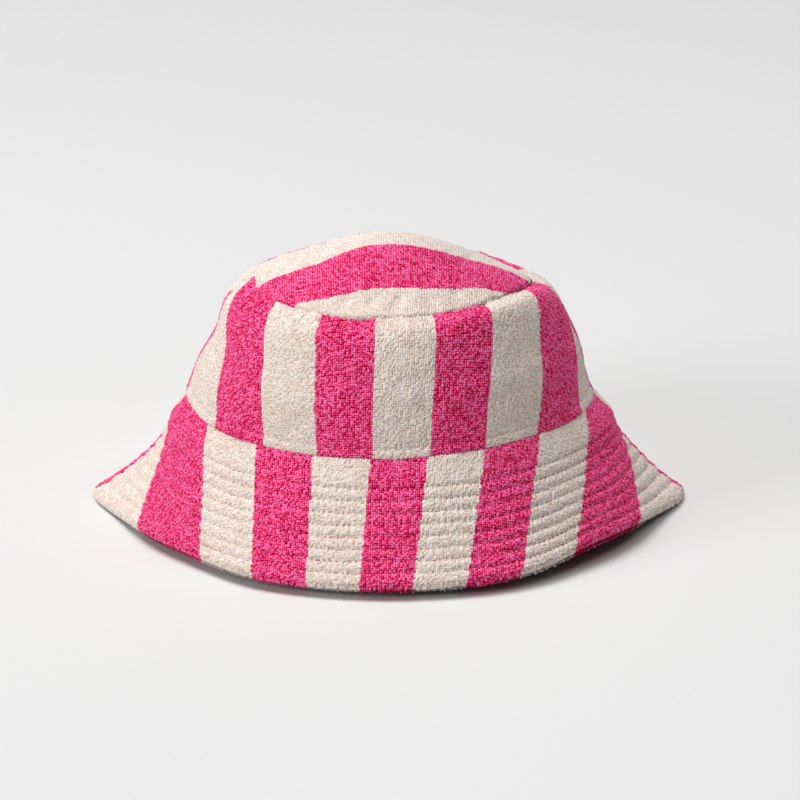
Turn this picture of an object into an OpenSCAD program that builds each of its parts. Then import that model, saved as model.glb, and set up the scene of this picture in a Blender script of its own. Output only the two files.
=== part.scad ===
// Towelling bucket hat, built as it is sewn: a domed tip, a tapering side panel and a
// quilted double brim, each of the last two cut as a front and a back half and joined at
// side seams at -X and +X. Inside are a cotton lining, a sweatband and two labels.
// The hat stands on its brim edge at z = 0, faces -Y, and its axis is Z. Millimetres.

/* [Head] */
// Girth of the head that the hat is made for
head_girth = 570; // [540:5:600]
// Height of the sweatband's straight lower part, which grips the head
grip_h = 6; // [4:0.5:6.5]

/* [Crown] */
// Height of the crown from the brim seam to the tip seam
crown_h = 60; // [54:1:70]
// Radius of the crown at the tip seam
tip_r = 64; // [60:1:68]
// How far the side panel bows outward at half its height
crown_bow = 4.5; // [3.5:0.5:7]
// Rise of the domed tip above its seam
tip_rise = 22; // [12:1:28]
// Shape of the dome, from 1 for a cone to 2 for a round cap
tip_power = 1.5; // [1.2:0.1:2]

/* [Brim] */
// Width of the brim along its slope
brim_w = 64.3; // [56:0.1:75]
// Slope of the brim below the horizontal, in degrees
brim_slope = 49.2; // [35:0.1:58]
// Distance along the brim from its seam to the first quilting row
quilt_first = 14.3; // [10:0.1:16]
// Distance between quilting rows
quilt_pitch = 6.1; // [4:0.1:6.5]
// Number of quilting rows
quilt_rows = 8; // [4:1:8]

/* [Cloth] */
// Thickness of the towelling
terry_t = 2.2; // [1.6:0.1:2.6]
// Thickness of the brim interlining
interlining_t = 0.6; // [0.3:0.1:1]
// Thickness of the crown lining
lining_t = 0.5; // [0.3:0.1:0.6]
// Thickness of a trimmed and pressed seam allowance
allowance_t = 0.5; // [0.4:0.1:0.7]
// Width of a seam allowance
allowance_w = 6; // [4:0.5:8]
// Diameter of the sewing thread
thread_d = 0.4; // [0.3:0.05:0.45]

/* [Sweatband] */
// Height of the sweatband
sweatband_h = 28; // [24:1:32]
// Thickness of the sweatband
sweatband_t = 0.8; // [0.6:0.1:1.2]

/* [Labels] */
// Width of the woven size label, sewn flat to the sweatband
size_label_w = 40; // [20:1:60]
// Height of the woven size label
size_label_h = 13; // [8:1:14]
// Width of the loose care label
care_label_w = 20; // [15:1:24]
// Length of the loose care label below its seam
care_label_h = 40; // [30:1:42]
// Thickness of a label
label_t = 0.4; // [0.3:0.1:0.6]

/* [Hidden] */
$fn = 144;

PINK = "#db4b86";
CREAM = "#e9ddd2";
COTTON = "#f1e8df";
SATIN = "#f7f5f1";

ply_gap = 0.05;      // between plies that lie on each other
seam_gap = 0.2;      // between panel edges that are sewn together
lining_drop = 1;     // between the tip and the lining that hangs under it
overhang = 0.6;      // of the side panel's turned edge over the brim
edge_lift = 0.3;     // of the top ply's edge above the under ply's, which rests
topstitch_h = 4.8;   // of the crown topstitch above the brim seam
care_clear = 0.5;    // between the care label's corners and the lining
CROWN_STEPS = 12;
TIP_STEPS = 14;
FRONT = 180;         // start angle of a front half, which runs on to 360
BACK = 0;

head_r = head_girth / (2 * PI);
thread_r = thread_d / 2;
thread_out = thread_r + ply_gap;

// Depth of each ply's outer face below the crown's outer surface, measured radially
brim_top_d = terry_t + ply_gap;
brim_under_d = brim_top_d + allowance_t + ply_gap;
lining_d = brim_under_d + allowance_t + ply_gap;
sweatband_d = lining_d + lining_t + ply_gap;
size_label_d = sweatband_d + sweatband_t + ply_gap;

// The crown is as wide at its base as the plies around the head make it
grip_f = grip_h / crown_h;
grip_r = head_r + sweatband_t + sweatband_d;
bow_at_grip = 4 * crown_bow * grip_f * (1 - grip_f);
base_r = (grip_r - tip_r * grip_f - bow_at_grip) / (1 - grip_f);

// Heights: the brim seam, the tip seam, and the edges of the plies under the tip
brim_r0 = base_r - overhang;
brim_end = [cos(brim_slope), sin(brim_slope)];
seam_z = brim_w * brim_end.y + terry_t * brim_end.x + ply_gap + edge_lift;
top_z = seam_z + crown_h;
panel_h = crown_h - terry_t;
lining_h = panel_h - lining_drop - lining_t - ply_gap;

// Depths of the brim's plies below its top surface, measured square to the cloth
interlining_n = terry_t + ply_gap;
under_n = interlining_n + interlining_t + ply_gap;
brim_t = under_n + terry_t;

care_label_z = seam_z + lining_h - 1;
care_corner_r = crown_r(lining_h - 1) - lining_d - lining_t - care_clear;
care_label_y = sqrt(pow(care_corner_r, 2) - pow(care_label_w / 2, 2)) - label_t;
size_label_low = grip_h + 5;

function reversed(points) = [for (i = [len(points) - 1 : -1 : 0]) points[i]];

// Radius of the crown's outer surface at height h above the brim seam
function crown_r(h) =
    let (f = h / crown_h)
    base_r * (1 - f) + tip_r * f + 4 * crown_bow * f * (1 - f);

// A line at radial depth d under the crown's surface, from height h0 to h1
function crown_line(h0, h1, d) = [
    for (i = [0 : CROWN_STEPS])
        let (h = h0 + (h1 - h0) * i / CROWN_STEPS)
        [crown_r(h) - d, seam_z + h]
];

// Height of the tip's surface above its seam at radius r
function tip_z(r) = tip_rise * (1 - pow(min(r, tip_r) / tip_r, tip_power));

// A line at depth d under the tip's surface, from the axis out to radius r1
function tip_line(r1, d) = [
    for (i = [0 : TIP_STEPS])
        let (r = r1 * i / TIP_STEPS)
        [r, top_z + tip_z(r) - d]
];

// A point of the brim: s along its slope from the seam, n into the cloth
function brim_point(s, n) = [
    brim_r0 + s * brim_end.x - n * brim_end.y,
    seam_z - ply_gap - s * brim_end.y - n * brim_end.x
];

// How far along the brim a line at depth n reaches radius r, and the floor
function brim_s_at_r(n, r) = (r - brim_r0 + n * brim_end.y) / brim_end.x;
function brim_s_at_floor(n) = (seam_z - ply_gap - n * brim_end.x) / brim_end.y;

function quilt_s(row) = quilt_first + quilt_pitch * row;

// Turns an outline through half a circle, short of both side seams
module half(start) {
    trim = seam_gap / 2 / base_r * 180 / PI;
    rotate([0, 0, start + trim])
        rotate_extrude(angle = 180 - 2 * trim)
            children();
}

module crown_ply(h0, h1, d, t) {
    polygon(concat(crown_line(h0, h1, d), reversed(crown_line(h0, h1, d + t))));
}

// A ring of thread around the hat, centred on a point of its half-section
module thread_ring(at) {
    rotate_extrude()
        translate(at)
            circle(r = thread_r, $fn = 16);
}

// The top ply of the brim, with its inner edge turned up behind the side panel
module brim_top_outline() {
    flange_r = base_r - brim_top_d;
    corner = brim_point(brim_s_at_r(terry_t, flange_r - allowance_t), terry_t);
    polygon(concat(
        [brim_point(0, 0), brim_point(brim_w, 0), brim_point(brim_w, terry_t), corner],
        crown_line(0, allowance_w, brim_top_d + allowance_t),
        reversed(crown_line(0, allowance_w, brim_top_d)),
        [[flange_r, seam_z - ply_gap]]
    ));
}

module brim_interlining_outline() {
    near = 1.5;
    far = brim_w - 3;
    deep = interlining_n + interlining_t;
    polygon([
        brim_point(near, interlining_n), brim_point(far, interlining_n),
        brim_point(far, deep), brim_point(near, deep)
    ]);
}

// The under ply of the brim: it rests on its flat edge at z = 0
module brim_under_outline() {
    flange_r = base_r - brim_under_d;
    outer_corner = brim_point(brim_s_at_r(under_n, flange_r), under_n);
    inner_corner = brim_point(brim_s_at_r(brim_t, flange_r - allowance_t), brim_t);
    polygon(concat(
        [outer_corner, brim_point(brim_s_at_floor(under_n), under_n)],
        [brim_point(brim_s_at_floor(brim_t), brim_t), inner_corner],
        crown_line(0, allowance_w, brim_under_d + allowance_t),
        reversed(crown_line(0, allowance_w, brim_under_d))
    ));
}

// The tip is one domed disc whose edge is turned down behind the side panel
module tip_outer() {
    rim_r = crown_r(panel_h);
    flange_low = panel_h - allowance_w;
    inside_r = rim_r - brim_top_d - allowance_t;
    color(PINK)
        rotate_extrude()
            polygon(concat(
                tip_line(tip_r, 0),
                [[rim_r, top_z - terry_t], [rim_r - brim_top_d, top_z - terry_t]],
                [[crown_r(flange_low) - brim_top_d, seam_z + flange_low]],
                [[crown_r(flange_low) - brim_top_d - allowance_t, seam_z + flange_low]],
                reversed(tip_line(inside_r, terry_t))
            ));
}

module side_panel(start) {
    color(PINK)
        half(start)
            crown_ply(0, panel_h - ply_gap, 0, terry_t);
}

module brim_top(start) {
    color(CREAM)
        half(start)
            brim_top_outline();
}

module brim_interlining(start) {
    color("white")
        half(start)
            brim_interlining_outline();
}

module brim_under(start) {
    color(PINK)
        half(start)
            brim_under_outline();
}

module tip_lining() {
    rim_r = crown_r(lining_h) - lining_d;
    drop = terry_t + lining_drop;
    color(COTTON)
        rotate_extrude()
            polygon(concat(tip_line(rim_r, drop), reversed(tip_line(rim_r, drop + lining_t))));
}

module side_lining(start) {
    color(COTTON)
        half(start)
            crown_ply(1, lining_h, lining_d, lining_t);
}

// One band closed at the back: straight where it grips the head, then up the crown
module sweatband() {
    slit = seam_gap / head_r * 180 / PI;
    slope_inner = crown_line(grip_h, sweatband_h, sweatband_d + sweatband_t);
    slope_outer = crown_line(grip_h, sweatband_h, sweatband_d);
    color(COTTON)
        rotate([0, 0, 90 + slit / 2])
            rotate_extrude(angle = 360 - slit)
                polygon(concat(
                    [[head_r, seam_z]],
                    slope_inner,
                    reversed(slope_outer),
                    [[head_r + sweatband_t, seam_z]]
                ));
}

module size_label() {
    low_r = crown_r(size_label_low) - size_label_d;
    angle = size_label_w / low_r * 180 / PI;
    color(SATIN)
        rotate([0, 0, 90 - angle / 2])
            rotate_extrude(angle = angle)
                crown_ply(size_label_low, size_label_low + size_label_h, size_label_d, label_t);
}

// Hangs from the lining's tip seam at the back, and swings about its folded top edge
module care_label() {
    color(SATIN)
        translate([-care_label_w / 2, care_label_y, care_label_z])
            union() {
                translate([0, -label_t / 2, -care_label_h])
                    cube([care_label_w, label_t, care_label_h]);
                rotate([0, 90, 0])
                    cylinder(d = label_t, h = care_label_w, $fn = 24);
            }
}

// A needle thread on top of every quilting row and a bobbin thread under it
module brim_quilting_thread() {
    color(PINK)
        for (row = [0 : quilt_rows - 1]) {
            thread_ring(brim_point(quilt_s(row), -thread_out));
            thread_ring(brim_point(quilt_s(row), brim_t + thread_out));
        }
}

module crown_topstitch_thread() {
    color(CREAM)
        thread_ring([crown_r(topstitch_h) + thread_out, seam_z + topstitch_h]);
}

// Closes the tip seam on the inside, behind the turned-down edge of the tip
module tip_seam_thread() {
    h = panel_h - allowance_w / 2;
    inside = brim_top_d + allowance_t;
    color(CREAM)
        thread_ring([crown_r(h) - inside - thread_out - ply_gap, seam_z + h]);
}

// Closes the side seams of the lining on the inside, one line at each side
module side_seam_thread() {
    low = sweatband_h + 2;
    inside = lining_d + lining_t + thread_out + ply_gap;
    for (side = [0, 180])
        color(COTTON)
            rotate([0, 0, side - 0.25])
                rotate_extrude(angle = 0.5)
                    crown_ply(low, lining_h - 2, inside, thread_d);
}

module sweatband_thread() {
    h = grip_h + 2;
    color(CREAM)
        thread_ring([crown_r(h) - size_label_d - thread_r, seam_z + h]);
}

// One row along the top of the size label and one along its bottom
module size_label_thread() {
    inset = 1.5;
    label_face = size_label_d + label_t + ply_gap;
    low_r = crown_r(size_label_low) - size_label_d;
    angle = (size_label_w - 2 * inset) / low_r * 180 / PI;
    for (h = [size_label_low + inset, size_label_low + size_label_h - inset])
        color(CREAM)
            rotate([0, 0, 90 - angle / 2])
                rotate_extrude(angle = angle)
                    translate([crown_r(h) - label_face - thread_r, seam_z + h])
                        circle(r = thread_r, $fn = 16);
}

tip_outer();
side_panel(FRONT);  // side_panel_front
side_panel(BACK);  // side_panel_back
brim_top(FRONT);  // brim_top_front
brim_top(BACK);  // brim_top_back
brim_interlining(FRONT);  // brim_interlining_front
brim_interlining(BACK);  // brim_interlining_back
brim_under(FRONT);  // brim_under_front
brim_under(BACK);  // brim_under_back
tip_lining();
side_lining(FRONT);  // side_lining_front
side_lining(BACK);  // side_lining_back
sweatband();
size_label();
care_label();
brim_quilting_thread();
crown_topstitch_thread();
tip_seam_thread();
side_seam_thread();
sweatband_thread();
size_label_thread();
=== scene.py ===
"""A towelling bucket hat in pink and cream stripes, standing on a pale floor.

Every cloth piece is built from its flat pattern: a grid over the cloth gets its place from
the hat's half-section, then the hat's slumped shape, then the sewing, then the pile's loops.
The hat's front is at -Y and its side seams are at -X, the left, and +X, the right.
"""

import math

import bpy
import numpy as np
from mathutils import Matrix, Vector


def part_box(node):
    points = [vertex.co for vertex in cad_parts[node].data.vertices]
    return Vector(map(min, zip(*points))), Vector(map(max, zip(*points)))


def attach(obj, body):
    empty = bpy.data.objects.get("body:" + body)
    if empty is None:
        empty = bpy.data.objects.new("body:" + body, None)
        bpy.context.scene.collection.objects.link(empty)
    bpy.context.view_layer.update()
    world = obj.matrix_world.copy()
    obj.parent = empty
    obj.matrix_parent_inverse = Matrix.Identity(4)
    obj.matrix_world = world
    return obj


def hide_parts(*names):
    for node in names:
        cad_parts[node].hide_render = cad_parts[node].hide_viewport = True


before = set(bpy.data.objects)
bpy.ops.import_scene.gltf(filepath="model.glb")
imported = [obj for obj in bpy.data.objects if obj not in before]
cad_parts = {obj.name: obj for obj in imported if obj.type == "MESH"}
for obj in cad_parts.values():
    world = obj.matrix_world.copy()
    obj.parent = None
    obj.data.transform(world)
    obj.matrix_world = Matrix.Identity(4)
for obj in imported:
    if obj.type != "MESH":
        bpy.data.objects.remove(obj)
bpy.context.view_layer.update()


# ---------------------------------------------------------------- sizes, in metres
MM = 0.001
panel_low, panel_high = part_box("side_panel_front")
tip_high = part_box("tip_outer")[1]
brim_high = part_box("brim_top_front")[1]
band_low, band_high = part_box("sweatband")

TERRY = 2.2 * MM             # thickness of the towelling
CLEAR = 0.05 * MM            # between plies
BASE_R = panel_high.x        # crown radius at the brim seam
SEAM_Z = panel_low.z         # height of the brim seam
TOP_Z = panel_high.z + TERRY + CLEAR    # height of the tip's rim
CROWN_H = TOP_Z - SEAM_Z
CROWN_SLANT = 1.13           # length of cloth for each unit of the crown's height
CROWN_BOW = 4.5 * MM         # outward bow of its side, halfway up
TIP_R = 64 * MM              # crown radius at the tip seam
TIP_RISE = tip_high.z - TOP_Z
TIP_POWER = 1.5              # the dome falls with this power of the radius
OVERHANG = 0.6 * MM          # of the side panel over the brim
BRIM_SLOPE = math.radians(49.2)
BRIM_R0 = BASE_R - OVERHANG
BRIM_W = (brim_high.x - BRIM_R0) / math.cos(BRIM_SLOPE)
BRIM_T = 5.1 * MM            # both plies and the interlining
LINING_D = 3.35 * MM         # depth of the lining under the crown's surface
LINING_T = 0.5 * MM
BAND_D = 3.9 * MM            # depth of the sweatband
BAND_T = 0.8 * MM
BAND_H = band_high.z - band_low.z
GRIP_H = 6 * MM              # the sweatband is upright up to here

STITCH = 2.9 * MM            # from stitch to stitch
QUILT_FIRST, QUILT_PITCH, QUILT_ROWS = 14.3 * MM, 6.1 * MM, 8
TOPSTITCH_H = 4.8 * MM       # above the brim seam
BRIM_SEAM_ROLL = 1.4 * MM    # radius of a panel's turned edge, here at the brim seam
TIP_SEAM_ROLL = 1.9 * MM
SIDE_ROLL = 1.3 * MM
HALF = math.pi / 2 - 0.0011  # angle from a panel's middle to its side seams

STRIPE = 27 * MM             # width of one stripe
TIP_PHASE, FRONT_PHASE, BACK_PHASE = -36.5 * MM, -19.5 * MM, 0.0    # where stripes start
BRIM_FRONT_PHASE, BRIM_BACK_PHASE = 0.0, STRIPE
LOOP_ACROSS, LOOP_ALONG = 1.0 * MM, 1.15 * MM
LOOP_EDGE = 0.62             # distance in loops from a loop's middle to its foot
PILE_HEIGHT = 0.65 * MM
GRID = 0.5 * MM              # the mesh's step over the crown's towelling
BRIM_GRID = 0.56 * MM        # and over the brim's
TIP_POINTS = 282             # across the tip's mesh
LOWEST = 1.1 * MM            # height that the cloth under the pile keeps
TINY = 0.2 * MM              # step that measures a surface's directions
SEWN = "_sewn"               # a piece is named for the CAD node that it replaces

rng = np.random.default_rng(7)
WAVES = [    # the directions and phases of ripple()'s waves
    (rng.normal(size=3), rng.uniform(0, 2 * math.pi)) for _ in range(60)
]


# ---------------------------------------------------------------- small functions
def smooth(x, low, high):
    t = np.clip((x - low) / (high - low), 0, 1)
    return t * t * (3 - 2 * t)


def bell(x, middle, width):
    return np.exp(-(((x - middle) / width) ** 2))


def ripple(points, size, first=0, count=10):
    """Smooth noise from -1 to 1, about size metres from hump to hump."""
    total = 0
    for direction, phase in WAVES[first:first + count]:
        total = total + np.sin(points @ (direction * (4.0 / size)) + phase)
    return total / math.sqrt(count) / 1.4


def roll(distance, radius):
    """How far a turned edge sinks at a distance from it: a quarter round."""
    x = np.clip(distance / radius, 0, 1)
    return radius * (1 - np.sqrt(np.clip(1 - (1 - x) ** 2, 0, 1)))


def crown_r(h):
    f = h / CROWN_H
    return BASE_R * (1 - f) + TIP_R * f + 4 * CROWN_BOW * f * (1 - f)


def around(radius, height, angle):
    """Points at radius and height, turned by angle from the hat's front, -Y, towards +X."""
    return np.stack(
        np.broadcast_arrays(radius * np.sin(angle), -radius * np.cos(angle), height), -1
    )


# ---------------------------------------------------------------- the hat's slumped shape
# How far the soft hat stands from its plain round shape, in mm. Pairs are (right, left). In
# the functions below, a bell's or a step's numbers say where: in mm, or in degrees of angle.
FRONT_PULL, BACK_PULL = 7.5, 11.5    # brim drawn in beside its corners
MIDDLE_LIFT = 4.2                    # brim's edge raised at the front
CORNER_LIFT = 5.7, 1.0               # and between the front and a corner
HOLLOW = 4.7, 6.9                    # brim drawn in halfway down its side seams
SHOULDER = 3.0, 2.0                  # brim pushed out just below its seam
CORNER = 1.9, 2.6                    # brim's corners drawn out
WAIST = 1.8, 2.4                     # crown drawn in just above its seam
FLAT_SIDE = 0.0, 2.5                 # crown flattened
UPPER_FULL, EDGE_FULL, EDGE_TURN = 1.9, 1.2, 1.7    # crown fuller, then turned in at the top
BACK_ROOM = 3.0                      # crown pushed out behind the care label
LEAN = 1.2                           # crown pushed to the right
SEAM_RISE, SEAM_RISE_RIGHT = 1.0, 2.3    # crown raised at its front, and more at the right
CROWN_TILT, TIP_TILT = 4.0, 2.0      # over 60 mm, to the right: the crown up, the tip down
BACK_SAG = 2.5                       # crown's upper back lowered
PEAK, FALL, TIP_SINK = 4.6, 4.5, 1.0     # tip raised in front, lowered behind and all over
FLOOR_GAP = 0.35                     # under the brim's edge


def sides(pair, right):
    """A value that goes from the pair's second, on the left, to its first, on the right."""
    return pair[0] * right + pair[1] * (1 - right)


def brim_moves(t, angle, off_side, front, right):
    """How far the brim moves out and up. t runs from 0 at its seam to 1 at its hem."""
    between = 1 - smooth(off_side, 42, 68)
    beside = (1 - bell(off_side, 0, 11)) * between
    behind = (1 - bell(off_side, 0, 8)) * between * (np.abs(angle) > 90)
    pull = (FRONT_PULL * front + BACK_PULL * (1 - front)) * beside * t**1.7
    pull = np.where(behind > 0, BACK_PULL * behind * t**0.8, pull)
    lift = MIDDLE_LIFT * (1 - bell(off_side, 0, 25))
    lift = lift + CORNER_LIFT[0] * bell(angle, 52, 26) + CORNER_LIFT[1] * bell(angle, -52, 26)
    hollow = sides(HOLLOW, right) * 4 * t * (1 - np.minimum(t, 1)) * bell(off_side, 0, 34)
    shoulder = sides(SHOULDER, right) * bell(t, 0.16, 0.12) * bell(off_side, 0, 30)
    corner = sides(CORNER, right) * bell(off_side, 0, 12) * t**3
    return shoulder + corner - pull - hollow, front * lift * t**1.7


def crown_moves(y, r, h, t, off_side, right):
    """How far the crown moves out: in at its base, fuller under the tip seam, flat on its left,
    and roomy at its back. h is the height over the brim seam."""
    waist = sides(WAIST, right) * bell(h, 6, 12) * bell(off_side, 0, 45)
    full = UPPER_FULL * smooth(h, 30, 46) + EDGE_FULL * bell(h, 50, 6)
    full = (full - EDGE_TURN * smooth(h, 54, CROWN_H / MM)) * smooth(r, 30, 62)
    flat = sides(FLAT_SIDE, right) * bell(h, 28, 13) * bell(off_side, 0, 45) * smooth(r, 40, 70)
    room = BACK_ROOM * smooth(y, 35, 60) * smooth(h, 8, 40) * smooth(r, 30, 62)
    return full + room - flat - waist * (1 - smooth(t, 0, 0.3))


def crown_rise(x, y, h, t, off_side, front, right):
    """How far the crown moves up: both of its seams rise to the right, and the tip falls away
    straight behind its peak."""
    top = CROWN_H / MM
    on_tip = smooth(h, top - 8, top + 1)
    seam = SEAM_RISE + SEAM_RISE_RIGHT * right * bell(off_side, 45, 40)
    seam = seam * front * (1 - smooth(t, 0, 1))
    tilt = CROWN_TILT * np.clip(x / 60, -1, 1) * smooth(h, 20, top) * smooth(-y, -20, 50)
    sag = BACK_SAG * smooth(y, 5, 40) * smooth(h, 30, top)
    peak = PEAK * bell(y, -26, 18) * bell(x, 0, 42)
    fall = FALL * bell(y, 28, 26) * bell(x, 5, 60)
    tip = peak - fall - TIP_SINK - TIP_TILT * x / 60
    return seam * (1 - on_tip) + tilt - sag + on_tip * tip


def slump(points):
    """Moves points of the plain round hat to where the soft hat has them."""
    x, y, z = points[..., 0] / MM, points[..., 1] / MM, points[..., 2] / MM
    r = np.maximum(np.hypot(x, y), 1e-3)
    angle = np.degrees(np.arctan2(x, -y))
    off_side = np.abs(np.abs(angle) - 90)
    front, right = smooth(-y / r, -0.25, 0.25), smooth(x / r, -0.3, 0.3)
    h = z - SEAM_Z / MM
    reach = (brim_high.x - BASE_R) / MM
    t = np.clip((r - BASE_R / MM) / reach, 0, 1.1) * (h < 4)
    outward, up = brim_moves(t, angle, off_side, front, right)
    outward = outward + crown_moves(y, r, h, t, off_side, right)
    up = up + crown_rise(x, y, h, t, off_side, front, right)
    lean = LEAN * smooth(h, 12, 48)
    moved = np.stack([x * (r + outward) / r + lean, y * (r + outward) / r, z + up], -1)
    low = moved[..., 2] - FLOOR_GAP
    moved[..., 2] = FLOOR_GAP + np.where(low > 1, low, np.exp(np.minimum(low, 1) - 1))
    return moved * MM


# ---------------------------------------------------------------- meshes
def normals_of(grid):
    """Unit normals of a grid of points, rows by columns."""
    n = np.cross(np.gradient(grid, axis=1), np.gradient(grid, axis=0))
    return n / np.maximum(np.linalg.norm(n, axis=-1, keepdims=True), 1e-12)


def mesh_object(node, points, quads, rest=(), flat=None, pile=None):
    """A sewn piece that stands for a CAD node, from points, quads and larger faces. flat holds
    each point's place on the flat cloth, across and along its stripes, and its place among the
    stripes. pile is how much of the loops stands there."""
    mesh = bpy.data.meshes.new(node + SEWN)
    sizes = [4] * len(quads) + [len(f) for f in rest]
    corners = np.concatenate([np.asarray(quads).ravel(), *[np.asarray(f) for f in rest]])
    mesh.vertices.add(len(points))
    mesh.vertices.foreach_set("co", np.asarray(points, np.float32).ravel())
    mesh.loops.add(len(corners))
    mesh.loops.foreach_set("vertex_index", corners.astype(np.int32))
    mesh.polygons.add(len(sizes))
    starts = np.concatenate([[0], np.cumsum(sizes)[:-1]]).astype(np.int32)
    mesh.polygons.foreach_set("loop_start", starts)
    mesh.update(calc_edges=True)
    mesh.polygons.foreach_set("use_smooth", np.ones(len(sizes), bool))
    if flat is not None:
        values = np.asarray(flat, np.float32).ravel()
        mesh.attributes.new("flat", "FLOAT_VECTOR", "POINT").data.foreach_set("vector", values)
        values = np.asarray(pile, np.float32)
        mesh.attributes.new("pile", "FLOAT", "POINT").data.foreach_set("value", values)
    mesh.validate()
    mesh.update()
    obj = bpy.data.objects.new(mesh.name, mesh)
    bpy.context.scene.collection.objects.link(obj)
    return obj


def grid_quads(rows, columns, ring_rows=False, ring_columns=False):
    """The quads of a grid of points, closed on itself along its rows or columns."""
    i, j = np.meshgrid(
        np.arange(rows if ring_rows else rows - 1),
        np.arange(columns if ring_columns else columns - 1),
        indexing="ij",
    )
    i2, j2 = (i + 1) % rows, (j + 1) % columns
    corners = [i * columns + j, i * columns + j2, i2 * columns + j2, i2 * columns + j]
    return np.stack(corners, -1).reshape(-1, 4)


def end_faces(outer_rows, inner_rows):
    """The small faces that close a sheet's end, as rows of its grid: each joins a run of the
    outer face's rows to two of the inner face's."""
    stops = np.linspace(0, outer_rows - 1, inner_rows).astype(int)
    last = outer_rows + inner_rows - 1
    runs = [np.arange(low, high + 1) for low, high in zip(stops[:-1], stops[1:])]
    return [np.append(run, [last - k - 1, last - k]) for k, run in enumerate(runs)]


def ply(name, outer, inner, flat_outer=None, flat_inner=None, pile=1.0, ring=False):
    """A closed sheet: an outer face, and an inner face with its rows in the opposite order.
    Both are grids of rows by columns, flat_* holds their places on the flat cloth, and pile is
    how much of the loops stands on the outer face."""
    grid = np.concatenate([outer, inner])
    rows, columns = grid.shape[:2]
    quads = grid_quads(rows, columns, ring_rows=True, ring_columns=ring)
    ends = []
    if not ring:
        ends = [ids * columns for ids in end_faces(len(outer), len(inner))]
        ends = ends + [ids[::-1] + columns - 1 for ids in ends]
    if flat_outer is None:
        return mesh_object(name, grid.reshape(-1, 3), quads, ends)
    flat = np.concatenate([flat_outer, flat_inner]).reshape(-1, 3)
    pile = np.concatenate([pile * np.ones(outer.shape[:2]), np.zeros(inner.shape[:2])]).ravel()
    return mesh_object(name, grid.reshape(-1, 3), quads, ends, flat, pile)


def square_to_disc(n):
    """A square grid of n by n points, moved so that it fills the unit disc evenly."""
    a, b = np.meshgrid(np.linspace(-1, 1, n), np.linspace(-1, 1, n))
    wide = np.abs(a) >= np.abs(b)
    r = np.where(wide, a, b)
    share = np.where(wide, b, a) / np.where(r == 0, 1, r)
    turn = np.where(wide, share, 2 - share) * math.pi / 4
    return r * np.cos(turn), r * np.sin(turn)


def disc_ply(name, x, y, outer, under, flat=None):
    """A closed disc: its outer face over plan places x and y, and a plainer face below, whose
    points under(x, y) gives."""
    n = len(x)
    index = np.arange(n * n).reshape(n, n)
    border = np.concatenate([index[0, :-1], index[:-1, -1], index[-1, :0:-1], index[:0:-1, 0]])
    points, quads = [outer.reshape(-1, 3)], [grid_quads(n, n)]
    shares = (1, 0.93, 0.8, 0.6, 0.4, 0.2)    # of the radius, rings of the face below
    count, previous, following = len(border), border, np.roll(border, -1)
    for ring, share in enumerate(shares):
        bx, by = x.ravel()[border] * share, y.ravel()[border] * share
        points.append(under(bx, by))
        here = n * n + ring * count + np.arange(count)
        beside = np.roll(here, -1)
        quads.append(np.stack([previous, here, beside, following], -1))
        previous, following = here, beside
    pile = None
    if flat is not None:
        flat = flat.reshape(-1, 3)
        flat = np.concatenate([flat, *[flat[border] * share for share in shares]])
        pile = np.concatenate([np.ones(n * n), np.zeros(count * len(shares))])
    return mesh_object(
        name, np.concatenate(points), np.concatenate(quads), [previous[::-1]], flat, pile
    )


# ---------------------------------------------------------------- the towelling's pile
def math_node(tree, operation, *values):
    """A Math node whose inputs are sockets, numbers, or None for one linked later."""
    node = tree.nodes.new("ShaderNodeMath")
    node.operation = operation
    for socket, value in zip(node.inputs, values):
        if isinstance(value, bpy.types.NodeSocket):
            tree.links.new(value, socket)
        elif value is not None:
            socket.default_value = value
    return node


def split(tree, vector):
    """The x, y and z sockets of a vector."""
    node = tree.nodes.new("ShaderNodeSeparateXYZ")
    tree.links.new(vector, node.inputs[0])
    return node.outputs


def loop_pattern(tree, flat):
    """The towelling's loops: rows across the stripes, one cell for each loop."""
    stretch = tree.nodes.new("ShaderNodeVectorMath")
    stretch.operation = "MULTIPLY"
    stretch.inputs[1].default_value = (1 / LOOP_ACROSS, 1 / LOOP_ALONG, 0)
    tree.links.new(flat, stretch.inputs[0])
    cells = tree.nodes.new("ShaderNodeTexVoronoi")
    cells.voronoi_dimensions = "2D"
    cells.inputs["Scale"].default_value = 1
    cells.inputs["Randomness"].default_value = 0.5
    tree.links.new(stretch.outputs[0], cells.inputs["Vector"])
    return cells


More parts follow.
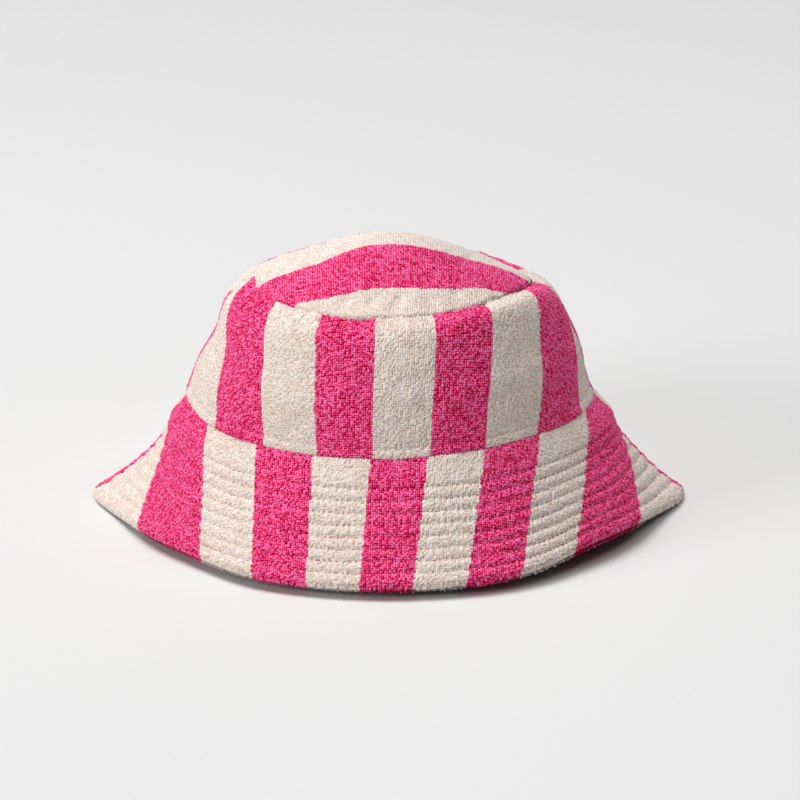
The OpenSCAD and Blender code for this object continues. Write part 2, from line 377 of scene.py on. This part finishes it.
def pile_nodes():
    """A node group that pushes the towelling's loops out along the normal."""
    tree = bpy.data.node_groups.new("pile", "GeometryNodeTree")
    tree.interface.new_socket("Geometry", in_out="INPUT", socket_type="NodeSocketGeometry")
    tree.interface.new_socket("Geometry", in_out="OUTPUT", socket_type="NodeSocketGeometry")
    add, link = tree.nodes.new, tree.links.new
    start, end = add("NodeGroupInput"), add("NodeGroupOutput")
    flat, pile = add("GeometryNodeInputNamedAttribute"), add("GeometryNodeInputNamedAttribute")
    flat.data_type, pile.data_type = "FLOAT_VECTOR", "FLOAT"
    flat.inputs["Name"].default_value, pile.inputs["Name"].default_value = "flat", "pile"
    loops = loop_pattern(tree, flat.outputs["Attribute"])
    height = add("ShaderNodeMapRange")
    height.interpolation_type = "SMOOTHSTEP"
    height.inputs["From Min"].default_value = LOOP_EDGE
    height.inputs["From Max"].default_value = 0.0
    height.inputs["To Min"].default_value = -0.45 * PILE_HEIGHT
    height.inputs["To Max"].default_value = 0.55 * PILE_HEIGHT
    link(loops.outputs["Distance"], height.inputs["Value"])
    uneven = math_node(tree, "MULTIPLY_ADD", None, 0.5 * PILE_HEIGHT, -0.25 * PILE_HEIGHT)
    link(split(tree, loops.outputs["Color"])[1], uneven.inputs[0])
    total = math_node(tree, "ADD", height.outputs[0], uneven.outputs[0])
    masked = math_node(tree, "MULTIPLY", total.outputs[0], pile.outputs["Attribute"])
    offset = add("ShaderNodeVectorMath")
    offset.operation = "SCALE"
    link(add("GeometryNodeInputNormal").outputs[0], offset.inputs[0])
    link(masked.outputs[0], offset.inputs["Scale"])
    move = add("GeometryNodeSetPosition")
    link(start.outputs[0], move.inputs["Geometry"])
    link(offset.outputs[0], move.inputs["Offset"])
    link(move.outputs[0], end.inputs[0])
    return tree


def raise_pile(obj):
    modifier = obj.modifiers.new("pile", "NODES")
    modifier.node_group = bpy.data.node_groups.get("pile") or pile_nodes()
    view = bpy.context.evaluated_depsgraph_get()
    mesh = bpy.data.meshes.new_from_object(
        obj.evaluated_get(view), preserve_all_data_layers=True, depsgraph=view
    )
    mesh.name = obj.name
    obj.modifiers.clear()
    obj.data = mesh
    return obj


# ---------------------------------------------------------------- towelling pieces
PANEL_STRIPES = {"shift": 1.5, "stretch": 1.06, "ease": 1.1e-5, "reach": 110}
BRIM_STRIPES = {"shift": -1.9, "stretch": 1.087, "ease": 1.2e-5, "reach": 125}
FOLD, FOLD_SIZE = 0.9 * MM, 45 * MM          # of the crown's cloth: height, hump to hump
CREASE, CREASE_SIZE = 0.3 * MM, 14 * MM
PUCKER, PUCKER_SIZE = 0.55 * MM, 14 * MM     # of the panels along the tip seam
LIP, LIP_H = 0.3 * MM, 2.2 * MM              # between the brim seam and the topstitching
STITCH_SINK, STITCH_WIDE = 0.35 * MM, 0.9 * MM
TUCK = 0.8 * MM                              # of the brim under the side panel
QUILT_PUFF, PLAIN_PUFF = 0.75 * MM, 0.7 * MM
QUILT_WANDER = 0.5 * MM
HEM_ROLL = BRIM_T / 2 + 0.5 * MM
SKEW_START, SKEW_GAIN, SKEW_MOST = 0.09, 1.4, 0.25    # of the brim's stripes, to the left
SKEW_PIVOT = 30 * MM                         # on the way down, and where it leaves them be
DIMPLES = ((-38, 1.2), (-22, 1.0), (-9, 1.8), (4, 1.5), (17, 0.9), (33, 1.2))
DIMPLE_R, DIMPLE_WIDE = 55 * MM, 2.8 * MM    # DIMPLES has each one's degrees and depth in mm


def half_angles(radius, step):
    return np.linspace(-HALF, HALF, int(2 * HALF * radius / step))


def to_seam(angle, radius):
    """Distance along the cloth to the nearer side seam."""
    return (HALF - np.abs(angle)) * radius


def cone_flat(angle, radius, sine):
    """A cone's flat pattern: across and along its middle line. sine is that of the angle
    between the cone's side and its axis."""
    rho, phi = radius / sine, angle * sine
    return rho * np.sin(phi), -rho * np.cos(phi)


def drawn_out(across, shift, stretch, ease, reach):
    """Where a point is among the stripes, in metres, when the sewing has moved them by shift and
    drawn them out. The drawing out eases off up to reach, and beyond it is at half rate."""
    near = np.clip(across / MM, -reach, reach)
    return MM * (shift + stretch * near - ease * near**3 + 0.5 * (across / MM - near))


def hidden_rows(rows, count):
    """The rows of a fine grid that its plainer hidden face keeps, in the opposite order."""
    return np.linspace(0, rows - 1, count).astype(int)[::-1]


def panel_detail(h, angle, turn, plain):
    """Height of a side panel's cloth over the smooth crown."""
    edge = around(BASE_R + 0 * h, 0, angle + turn)
    detail = LIP * bell(h, LIP_H, 1.8 * MM) - STITCH_SINK * bell(h, TOPSTITCH_H, STITCH_WIDE)
    detail = detail - roll(CROWN_SLANT * h, BRIM_SEAM_ROLL)
    detail = detail - roll(CROWN_SLANT * (CROWN_H - h), TIP_SEAM_ROLL)
    detail = detail - roll(to_seam(angle, crown_r(h)), SIDE_ROLL)
    detail = detail + FOLD * ripple(plain, FOLD_SIZE) + CREASE * ripple(plain, CREASE_SIZE, 10)
    return detail + PUCKER * ripple(edge, PUCKER_SIZE, 20) * bell(h, CROWN_H, 10 * MM)


def side_panel(name, turn, phase):
    angle = half_angles(BASE_R, GRID)[None, :]
    h = np.linspace(0, CROWN_H, int(CROWN_SLANT * CROWN_H / GRID))[:, None]
    plain = slump(around(crown_r(h), SEAM_Z + h, angle + turn))
    normal = normals_of(plain)
    outer = plain + normal * panel_detail(h, angle, turn, plain)[..., None]
    hidden = hidden_rows(len(h), 23)
    inner = plain[hidden] - normal[hidden] * TERRY
    sine = (BASE_R - TIP_R) / math.hypot(BASE_R - TIP_R, CROWN_H)
    straight = BASE_R - (BASE_R - TIP_R) * h / CROWN_H
    across, along = cone_flat(angle, straight, sine)
    flat = np.stack([across, along, drawn_out(across, **PANEL_STRIPES) - phase], -1)
    return raise_pile(ply(name, outer, inner, flat, flat[hidden]))


def brim_place(s, angle, sink=0.0):
    """The smooth brim at a distance s from its seam, sunk into the cloth, slumped."""
    radius = BRIM_R0 + s * math.cos(BRIM_SLOPE) - sink * math.sin(BRIM_SLOPE)
    height = SEAM_Z - s * math.sin(BRIM_SLOPE) - sink * math.cos(BRIM_SLOPE)
    return slump(around(radius, height, angle))


def quilt_wander(s, angle):
    """How far the quilting rows stray along the brim."""
    return QUILT_WANDER * ripple(around(BRIM_R0 + s, 0, angle), 60 * MM, 30)


def brim_detail(s, angle, plain):
    """Height of the quilted cloth over the smooth brim."""
    radius = BRIM_R0 + s * math.cos(BRIM_SLOPE)
    row = (s + quilt_wander(s, angle) - QUILT_FIRST) / QUILT_PITCH
    quilted = smooth(row, -0.6, 0) * (1 - smooth(row, QUILT_ROWS - 1, QUILT_ROWS - 0.4))
    puff = QUILT_PUFF * np.abs(np.sin(math.pi * row)) ** 0.9
    puff = puff * (1 + 0.25 * ripple(plain, 16 * MM, 40))
    pull = 0.2 + 0.2 * np.cos(2 * math.pi * angle * radius / STITCH)
    groove = MM * pull * bell((row - np.round(row)) * QUILT_PITCH, 0, STITCH_WIDE)
    detail = quilted * (puff - groove) + (1 - quilted) * PLAIN_PUFF
    return detail + 0.5 * MM * ripple(plain, 40 * MM, 5) * smooth(s, 0, 20 * MM)


def brim_ply(name, turn, phase, under=False):
    """One ply of half the brim. The under ply is the same cloth turned over."""
    angle = half_angles(brim_high.x, BRIM_GRID)[None, :]
    s = np.linspace(-TUCK, BRIM_W, int(BRIM_W / BRIM_GRID))[:, None]
    radius = BRIM_R0 + s * math.cos(BRIM_SLOPE)
    plain = brim_place(s, angle + turn, BRIM_T if under else 0.0)
    normal = normals_of(plain) * (1 if under else -1)
    detail = brim_detail(s, angle + turn, plain)
    detail = detail - roll(s + TUCK, 1.2 * MM) - roll(BRIM_W - s, HEM_ROLL)
    detail = detail - roll(to_seam(angle, radius), SIDE_ROLL)
    outer = plain + normal * detail[..., None]
    hidden = hidden_rows(len(s), 7)
    inner = plain[hidden] - normal[hidden] * TERRY
    for face in (outer, inner):
        face[..., 2] = np.maximum(face[..., 2], LOWEST)
    across, along = cone_flat(angle, radius, math.cos(BRIM_SLOPE))
    skew = np.clip(SKEW_START + SKEW_GAIN * across, 0, SKEW_MOST) * (s - SKEW_PIVOT)
    flat = np.stack([across, along, drawn_out(across + skew, **BRIM_STRIPES) - phase], -1)
    if not under:
        outer, inner, flat = outer[:, ::-1], inner[:, ::-1], flat[:, ::-1]
    pile = 1 + smooth(s, BRIM_W - 5 * MM, BRIM_W - 1 * MM)
    return raise_pile(ply(name, outer, inner, flat, flat[hidden], pile))


def tip_surface(x, y, drop=0.0):
    """The smooth tip at plan places x and y, slumped."""
    r = np.hypot(x, y)
    rise = TIP_RISE * (1 - np.minimum(r / TIP_R, 1) ** TIP_POWER)
    return slump(np.stack([x, y, TOP_Z + rise - drop], -1))


def tip_detail(x, y, plain):
    """Height of the tip's cloth over its smooth dome: folds, gathers at its rim, dimples."""
    r = np.hypot(x, y)
    rim = np.stack([x, y, 0 * x], -1) * (TIP_R / np.maximum(r, 1e-6))[..., None]
    detail = 0.8 * MM * ripple(plain, 40 * MM, 12) + 0.25 * MM * ripple(plain, 12 * MM, 22)
    gathers = np.minimum(ripple(rim, 10 * MM, 32), 0.4)
    detail = detail + 0.7 * MM * gathers * bell(r, TIP_R - 4 * MM, 7 * MM)
    detail = detail - roll(1.05 * (TIP_R - r), TIP_SEAM_ROLL)
    for degrees, depth in DIMPLES:
        turn = math.radians(degrees)
        away = np.hypot(x - DIMPLE_R * math.sin(turn), y + DIMPLE_R * math.cos(turn))
        detail = detail - depth * MM * bell(away, 0, DIMPLE_WIDE)
    return detail


def tip_flat(x, y, phase):
    """The tip's place on its flat cloth, as far from the middle as the dome's arc is long. Its
    stripes bend back at both sides, most on the right, and lie further back behind the middle."""
    r = np.hypot(x, y)
    meridian = np.linspace(0, TIP_R, 200)
    slope = np.gradient(TIP_RISE * (1 - (meridian / TIP_R) ** TIP_POWER), meridian)
    arc = np.concatenate([[0], np.cumsum(np.hypot(1, slope[1:]) * np.diff(meridian))])
    stretch = np.interp(r, meridian, arc) / np.maximum(r, 1e-6)
    across, along = y * stretch, x * stretch
    bend = 12 * MM * smooth(along, 15 * MM, 62 * MM) + 7 * MM * smooth(across, -12 * MM, 20 * MM)
    bend = bend + 3 * MM * smooth(-along, 30 * MM, 60 * MM)
    return np.stack([across, along, across - bend - phase], -1)


def tip_piece(name, phase):
    x, y = square_to_disc(TIP_POINTS)
    x, y = x * TIP_R, y * TIP_R
    plain = tip_surface(x, y)
    normal = normals_of(plain)
    normal = normal * np.sign(normal[..., 2:3])
    outer = plain + normal * tip_detail(x, y, plain)[..., None]
    flat = tip_flat(x, y, phase)
    return raise_pile(disc_ply(name, x, y, outer, lambda a, b: tip_surface(a, b, TERRY), flat))


# ---------------------------------------------------------------- inner pieces
RIM_INSET = 1.9 * MM         # of the tip lining from the tip seam
RIM_SHIFT = 0.5 * MM, -0.4 * MM    # of its middle, to the right and to the front
RIM_DROP, RIM_DROP_RIGHT = 1.8 * MM, 3.0 * MM    # all round, and more on the right
WALL_LOW, WALL_HIGH = 1 * MM, CROWN_H - 0.6 * MM    # heights of the side lining's edges
LABEL_T = 0.4 * MM


def crown_place(h, angle, depth):
    """Points at a depth under the slumped crown's surface, along its normal."""
    here = slump(around(crown_r(h), SEAM_Z + h, angle))
    along = slump(around(crown_r(h), SEAM_Z + h, angle + TINY / BASE_R)) - here
    up = slump(around(crown_r(h + TINY), SEAM_Z + h + TINY, angle)) - here
    out = np.cross(along, up)
    out = out / np.linalg.norm(out, axis=-1, keepdims=True)
    return here - out * np.asarray(depth)[..., None]


def lined_tip(x, y, sink=0.0):
    """The tip lining's face. It hangs lower at its rim, and lower still on the right, where the
    crown's lean leaves the side lining's top edge lower."""
    rim_drop = RIM_DROP + RIM_DROP_RIGHT * smooth(x, 2 * MM, 30 * MM)
    hang = rim_drop * smooth(np.hypot(x, y), 48 * MM, TIP_R)
    return tip_surface(x, y, TERRY + 1 * MM + hang + sink)


def tip_lining():
    x, y = square_to_disc(90)
    r = TIP_R - RIM_INSET
    x, y = x * r + RIM_SHIFT[0], y * r + RIM_SHIFT[1]
    outer = lined_tip(x, y)
    outer[..., 2] += 0.35 * MM * ripple(outer, 22 * MM, 3)
    return disc_ply("tip_lining", x, y, outer, lambda a, b: lined_tip(a, b, LINING_T))


def side_lining(name, turn):
    angle = np.linspace(-HALF, HALF, 150)[None, :] + turn
    h = np.linspace(WALL_LOW, WALL_HIGH, 40)[:, None]
    crease = 0.3 * MM * ripple(around(BASE_R, 0, angle) + 0 * h[..., None], 16 * MM, 8)
    depth = LINING_D + crease * bell(h, WALL_HIGH, 25 * MM)
    outer = crown_place(h, angle, depth)
    inner = crown_place(h[::-1], angle, depth[::-1] + LINING_T)
    return ply(name, outer, inner)


def band_depth(h, depth):
    """Depth of the band's face under the crown: upright where it grips, then up the crown."""
    upright = crown_r(h) - crown_r(GRIP_H) + depth
    return np.where(h < GRIP_H, upright, depth)


def sweatband():
    angle = np.linspace(-math.pi, math.pi, 361)[None, :-1]
    h = np.linspace(0, BAND_H, 30)[:, None]
    swell = 0.25 * MM * np.sin(math.pi * h / BAND_H) + 0 * angle
    outer = crown_place(h, angle, band_depth(h, BAND_D) + swell)
    inner = crown_place(h[::-1], angle, band_depth(h[::-1], BAND_D + BAND_T) + swell)
    return ply("sweatband", outer, inner, ring=True)


def interlining(name, turn):
    angle = np.linspace(-HALF, HALF, 150)[None, :] + turn
    s = np.linspace(2 * MM, BRIM_W - 4 * MM, 40)[:, None]
    outer = brim_place(s, angle, TERRY + 0.1 * MM)
    inner = brim_place(s[::-1], angle, TERRY + 0.6 * MM)
    return ply(name, outer[:, ::-1], inner[:, ::-1])


def size_label():
    low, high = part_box("size_label")
    half = high.x / (BASE_R - BAND_D)
    angle = math.pi + np.linspace(-half, half, 60)[None, :]
    h = np.linspace(low.z, high.z, 24)[:, None] - SEAM_Z
    depth = BAND_D + BAND_T + 0.3 * MM
    outer = crown_place(h, angle, depth)
    inner = crown_place(h[::-1], angle, depth + LABEL_T)
    return ply("size_label", outer, inner)


def care_label():
    """A loose single ply that hangs from its folded top edge and curls a little."""
    low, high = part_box("care_label")
    x = np.linspace(low.x, high.x, 41)[None, :]
    down = np.linspace(0, 1, 81)[:, None]
    z = high.z - (high.z - low.z) * down + 0 * x
    middle, thick = (low.y + high.y) / 2, high.y - low.y
    curl = 0.5 * MM * (x / high.x) ** 2 * down + 0.7 * MM * np.sin(3.6 * down) * down
    y = middle - curl
    front = np.stack([x + 0 * z, y - thick / 2, z], -1)
    back = np.stack([x + 0 * z, y + thick / 2, z], -1)[::-1]
    return ply("care_label", front[:, ::-1], back[:, ::-1])


# ---------------------------------------------------------------- sewing threads
def stitches(name, rows, length=2.2 * MM, width=0.5 * MM):
    """Stitches as small rods whose ends go into the cloth. rows is a list of (points, along,
    out): one point to a stitch, the seam's direction, and the direction out of the cloth."""
    sides_round, steps = 6, np.array([-1.0, -0.7, 0.7, 1.0])
    girth = width / 2 * np.array([0.45, 0.95, 0.95, 0.45])
    spin = np.arange(sides_round) * 2 * math.pi / sides_round
    rods = []
    for centre, along, out in rows:
        across = np.cross(along, out)
        rings = []
        for step, radius in zip(steps, girth):
            middle = centre + along * length / 2 * step - out * 0.22 * MM * step**2
            ring = [middle + radius * (across * math.cos(t) + out * math.sin(t)) for t in spin]
            rings.append(np.stack(ring, 1))
        rods.append(np.stack(rings, 1))
    points = np.concatenate(rods)
    faces = grid_quads(len(steps), sides_round, ring_columns=True)[:, ::-1]
    ends = np.array([[0, 1, 2, 3], [0, 3, 4, 5]])
    last = ends[:, ::-1] + sides_round * (len(steps) - 1)
    faces = np.concatenate([faces, ends, last])
    first = np.arange(len(points))[:, None, None] * len(steps) * sides_round
    return mesh_object(name, points.reshape(-1, 3), (first + faces).reshape(-1, 4))


def seam_frame(at, angle, side):
    """Points of a seam, its direction, and the direction out of the cloth. at(angle, shift)
    gives a point, shifted across the seam. side is +1 or -1 for which way is out."""
    centre = at(angle, 0.0)
    along = at(angle + TINY / BASE_R, 0.0) - centre
    up = at(angle, TINY) - centre
    out = np.cross(along, up) * side
    unit = [v / np.linalg.norm(v, axis=-1, keepdims=True) for v in (along, out)]
    return centre, unit[0], unit[1]


def seam_angles(radius, low=-math.pi, high=math.pi, pitch=STITCH):
    count = int((high - low) * radius / pitch)
    return low + (high - low) * (np.arange(count) + 0.5) / count


def quilting_thread():
    rows = []
    for sink, side in ((0.0, -1), (BRIM_T, 1)):
        for row in range(QUILT_ROWS):
            s = QUILT_FIRST + QUILT_PITCH * row
            angle = seam_angles(BRIM_R0 + s * math.cos(BRIM_SLOPE))
            line = s - quilt_wander(s, angle)
            centre, along, out = seam_frame(
                lambda a, shift: brim_place(line + shift, a, sink), angle, side
            )
            rows.append((centre - out * 0.5 * MM, along, out))
    return stitches("brim_quilting_thread", rows, width=0.4 * MM)


def crown_seam(name, h, depth, side, width=0.5 * MM, low=-math.pi, high=math.pi):
    """A line of stitches round the crown. side is +1 outside the cloth and -1 inside."""
    rows = []
    for height in h:
        angle = seam_angles(crown_r(height), low, high)
        centre, along, out = seam_frame(
            lambda a, shift: crown_place(height + shift + 0 * a, a, depth), angle, side
        )
        rows.append((centre, along, out))
    return stitches(name, rows, width=width)


def side_seam_thread():
    rows = []
    h = np.arange(30 * MM, CROWN_H - 6 * MM, STITCH)
    depth = LINING_D + LINING_T + 0.5 * MM
    for side in (-1, 1):
        angle = np.full(len(h), side * math.pi / 2)
        centre = crown_place(h, angle, depth)
        along = crown_place(h + TINY, angle, depth) - centre
        out = -around(np.ones(len(h)), 0, angle)
        along = along / np.linalg.norm(along, axis=-1, keepdims=True)
        rows.append((centre, along, out))
    return stitches("side_seam_thread", rows)


def size_label_thread(depth):
    """Its two rows, along the label's long edges."""
    low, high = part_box("size_label")
    edge = 1.5 * MM
    lines = [low.z - SEAM_Z + edge, high.z - SEAM_Z - edge]
    half = (high.x - edge) / (BASE_R - BAND_D)
    ends = math.pi - half, math.pi + half
    return crown_seam("size_label_thread", lines, depth, -1, 0.35 * MM, *ends)


# ---------------------------------------------------------------- materials
def srgb(r, g, b):
    """A colour given as 0 to 255 in sRGB, as Blender's linear values."""
    c = np.array([r, g, b]) / 255
    linear = np.where(c <= 0.04045, c / 12.92, ((c + 0.055) / 1.055) ** 2.4)
    return (*linear, 1)

# Each ramp paints shade and highlight on the loops' own pink or cream: darker towards a loop's
# foot as painted shade between loops, paler towards its top as painted highlight. The random
# loop, yarn and patch tones of the cloth also move along it.
PINK_WITH_PAINTED_SHADE = [    # from the foot of a loop to its top
    (0.0, srgb(172, 0, 56)),
    (0.28, srgb(240, 30, 100)),
    (0.55, srgb(255, 90, 155)),
    (1.0, srgb(255, 150, 202)),
]
CREAM_WITH_PAINTED_SHADE = [
    (0.0, srgb(214, 190, 176)),
    (0.3, srgb(237, 219, 207)),
    (0.62, srgb(245, 232, 222)),
    (1.0, srgb(251, 243, 236)),
]
LOOP_SHADE_FALL, LOOP_TOP = -1.5, 0.98     # painted shade over the distance from a loop's middle, and the painted highlight there
LOOP_TONE, YARN_TONE, CLOUD_TONE = 0.6, 0.7, 0.25    # how much loops, yarns, patches differ
TONE_SHIFT = -0.76           # keeps the mean tone in the middle of the two lists above
YARN_SCALE, CLOUD_SCALE = 1300.0, 90.0
THREAD_WEAVE = 4000.0


def new_material(name, roughness, sheen):
    material = bpy.data.materials.new(name)
    material.use_nodes = True
    tree = material.node_tree
    shader = tree.nodes["Principled BSDF"]
    shader.inputs["Roughness"].default_value = roughness
    shader.inputs["Specular IOR Level"].default_value = 0.1
    shader.inputs["Sheen Weight"].default_value = sheen
    shader.inputs["Sheen Roughness"].default_value = 0.45
    return material, tree, shader


def ramp_node(tree, factor, stops):
    ramp = tree.nodes.new("ShaderNodeValToRGB")
    elements = ramp.color_ramp.elements
    elements[0].position, elements[0].color = stops[0]
    elements[1].position, elements[1].color = stops[-1]
    for position, colour in stops[1:-1]:
        elements.new(position).color = colour
    tree.links.new(factor, ramp.inputs["Fac"])
    return ramp.outputs["Color"]


def noise_node(tree, vector, scale, detail=2.0):
    noise = tree.nodes.new("ShaderNodeTexNoise")
    noise.inputs["Scale"].default_value = scale
    noise.inputs["Detail"].default_value = detail
    tree.links.new(vector, noise.inputs["Vector"])
    return noise.outputs["Fac"]


def bump_node(tree, height, strength, distance, shader):
    bump = tree.nodes.new("ShaderNodeBump")
    bump.inputs["Strength"].default_value = strength
    bump.inputs["Distance"].default_value = distance
    tree.links.new(height, bump.inputs["Height"])
    tree.links.new(bump.outputs["Normal"], shader.inputs["Normal"])


def in_pink(tree, cloth, loops):
    """1 on the pink stripes and 0 on the cream, decided at the middle of each loop."""
    here, middle = split(tree, cloth), split(tree, loops.outputs["Position"])
    offset = math_node(tree, "SUBTRACT", here[2], here[0])
    stripe = math_node(tree, "MULTIPLY_ADD", middle[0], LOOP_ACROSS, offset.outputs[0])
    turns = math_node(tree, "MULTIPLY_ADD", stripe.outputs[0], 0.5 / STRIPE, 0.5)
    turns = math_node(tree, "FRACT", turns.outputs[0])
    turns = math_node(tree, "SUBTRACT", turns.outputs[0], 0.5)
    turns = math_node(tree, "ABSOLUTE", turns.outputs[0])
    return math_node(tree, "LESS_THAN", turns.outputs[0], 0.25).outputs[0]


def loop_level(tree, cloth, loops):
    """How high the pile is, and how pale it is painted: from 0 at a loop's foot, darkened as
    painted shade between loops, to 1 at its top, lightened as painted highlight.
    """
    tone = split(tree, loops.outputs["Color"])
    yarn = noise_node(tree, cloth, YARN_SCALE)
    cloud = noise_node(tree, cloth, CLOUD_SCALE)
    # painted shade towards a loop's foot, painted highlight at its middle
    near = math_node(tree, "MULTIPLY_ADD", loops.outputs["Distance"], LOOP_SHADE_FALL, LOOP_TOP)
    level = math_node(tree, "MULTIPLY_ADD", tone[0], LOOP_TONE, near.outputs[0])
    level = math_node(tree, "MULTIPLY_ADD", yarn, YARN_TONE, level.outputs[0])
    level = math_node(tree, "MULTIPLY_ADD", cloud, CLOUD_TONE, level.outputs[0])
    return math_node(tree, "ADD", level.outputs[0], TONE_SHIFT).outputs[0]


def towelling():
    """Looped cotton in stripes. Each loop takes the colour of the yarn it was drawn from, so
    the stripes' borders step from loop to loop."""
    material, tree, shader = new_material("towelling", 0.95, 0.05)
    attribute = tree.nodes.new("ShaderNodeAttribute")
    attribute.attribute_name = "flat"
    cloth = attribute.outputs["Vector"]
    loops = loop_pattern(tree, cloth)
    level = loop_level(tree, cloth, loops)
    blend = tree.nodes.new("ShaderNodeMix")
    blend.data_type = "RGBA"
    tree.links.new(in_pink(tree, cloth, loops), blend.inputs["Factor"])
    # the ramps paint shade at each loop's foot and a highlight at its top, over the stripes' own
    # cream and pink
    tree.links.new(ramp_node(tree, level, CREAM_WITH_PAINTED_SHADE), blend.inputs[6])
    tree.links.new(ramp_node(tree, level, PINK_WITH_PAINTED_SHADE), blend.inputs[7])
    tree.links.new(blend.outputs[2], shader.inputs["Base Color"])
    bump_node(tree, level, 0.55, 0.35 * MM, shader)
    return material


def plain_cloth(name, colour, roughness=0.85, sheen=0.2, weave=1500.0, strength=0.25):
    """A plain woven cloth: one colour, crossed by fine threads."""
    material, tree, shader = new_material(name, roughness, sheen)
    spot = tree.nodes.new("ShaderNodeTexCoord").outputs["Object"]
    threads = noise_node(tree, spot, weave)
    dark = (*[0.82 * c for c in colour[:3]], 1)
    shade = ramp_node(tree, threads, [(0.3, dark), (0.7, colour)])
    tree.links.new(shade, shader.inputs["Base Color"])
    bump_node(tree, threads, strength, 0.1 * MM, shader)
    return material


# ---------------------------------------------------------------- the hat, put together
HALVES = ("front", 0), ("back", math.pi)    # and how far each is turned


def place(obj, material, body="hat"):
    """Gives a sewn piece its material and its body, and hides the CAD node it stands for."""
    obj.data.materials.append(material)
    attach(obj, body)
    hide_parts(obj.name.removesuffix(SEWN))
    return obj


def sew_towelling():
    terry = towelling()
    place(tip_piece("tip_outer", TIP_PHASE), terry)
    for (half, turn), phase in zip(HALVES, (FRONT_PHASE, BACK_PHASE)):
        place(side_panel("side_panel_" + half, turn, phase), terry)
    for (half, turn), phase in zip(HALVES, (BRIM_FRONT_PHASE, BRIM_BACK_PHASE)):
        place(brim_ply("brim_top_" + half, turn, phase), terry)
        under = brim_ply("brim_under_" + half, turn, phase, under=True)
        place(under, terry)


def sew_inside():
    felt = plain_cloth("interlining", srgb(238, 236, 232))
    cotton = plain_cloth("lining", srgb(236, 228, 218))
    twill = plain_cloth("sweatband", srgb(228, 218, 206), weave=900.0, strength=0.4)
    satin = plain_cloth("label", srgb(244, 242, 238), roughness=0.45, sheen=0.4)
    for half, turn in HALVES:
        place(interlining("brim_interlining_" + half, turn), felt)
        place(side_lining("side_lining_" + half, turn), cotton)
    place(tip_lining(), cotton)
    place(sweatband(), twill)
    place(size_label(), satin)
    label = place(care_label(), satin, body="care_label")


def sew_threads():
    pink = plain_cloth("thread_pink", srgb(212, 104, 134), weave=THREAD_WEAVE)
    cream = plain_cloth("thread_cream", srgb(226, 212, 200), weave=THREAD_WEAVE)
    place(quilting_thread(), pink)
    inside = LINING_D - 0.35 * MM
    band_face = BAND_D + BAND_T + 0.35 * MM
    tip_line = CROWN_H - 5 * MM
    for thread in (
        crown_seam("crown_topstitch_thread", [TOPSTITCH_H], 1.25 * MM, 1, 0.4 * MM),
        crown_seam("tip_seam_thread", [tip_line], inside, -1, 0.35 * MM),
        side_seam_thread(),
        crown_seam("sweatband_thread", [8 * MM], band_face, -1),
        size_label_thread(band_face + 0.5 * MM),
    ):
        place(thread, cream)


# ---------------------------------------------------------------- room, light and camera
LIGHTS = (    # name, place, size in metres, power in watts
    ("overhead", (-0.8, 0.4, 3.6), 2.2, 106),
    ("left", (-2.8, -1.8, 1.25), 1.6, 52),
    ("right", (1.3, -0.3, 3.3), 1.8, 24),
)
SKY = 0.05
FLOOR_SIZE = 12
LENS = 191                   # in mm, on a sensor 36 mm wide
CAMERA_TILT = math.radians(18.5)
CAMERA_AWAY = 2.0
TARGET = Vector((0.0049, 0, 0.048))


def floor():
    bpy.ops.mesh.primitive_plane_add(size=FLOOR_SIZE, location=(0, 0, 0))
    plane = bpy.context.object
    plane.name = "floor"
    material, _, shader = new_material("paper", 0.95, 0.0)
    shader.inputs["Base Color"].default_value = srgb(233, 234, 233)
    plane.data.materials.append(material)


def area_light(name, spot, size, power):
    data = bpy.data.lights.new(name, "AREA")
    data.size, data.energy = size, power
    light = bpy.data.objects.new(name, data)
    light.location = spot
    light.rotation_euler = (-Vector(spot)).to_track_quat("-Z", "Y").to_euler()
    bpy.context.scene.collection.objects.link(light)


def lights():
    for light in LIGHTS:
        area_light(*light)
    world = bpy.data.worlds.new("world")
    bpy.context.scene.world = world
    world.use_nodes = True
    sky = world.node_tree.nodes["Background"]
    sky.inputs["Color"].default_value = (1, 1, 1, 1)
    sky.inputs["Strength"].default_value = SKY


def camera():
    data = bpy.data.cameras.new("camera")
    data.sensor_width = 36
    data.lens = LENS
    cam = bpy.data.objects.new("camera", data)
    away = Vector((0, -math.cos(CAMERA_TILT), math.sin(CAMERA_TILT)))
    cam.location = TARGET + CAMERA_AWAY * away
    cam.rotation_euler = (TARGET - cam.location).to_track_quat("-Z", "Y").to_euler()
    bpy.context.scene.collection.objects.link(cam)
    bpy.context.scene.camera = cam


sew_towelling()
sew_inside()
sew_threads()
floor()
lights()
camera()
bpy.context.scene.view_settings.view_transform = "Standard"
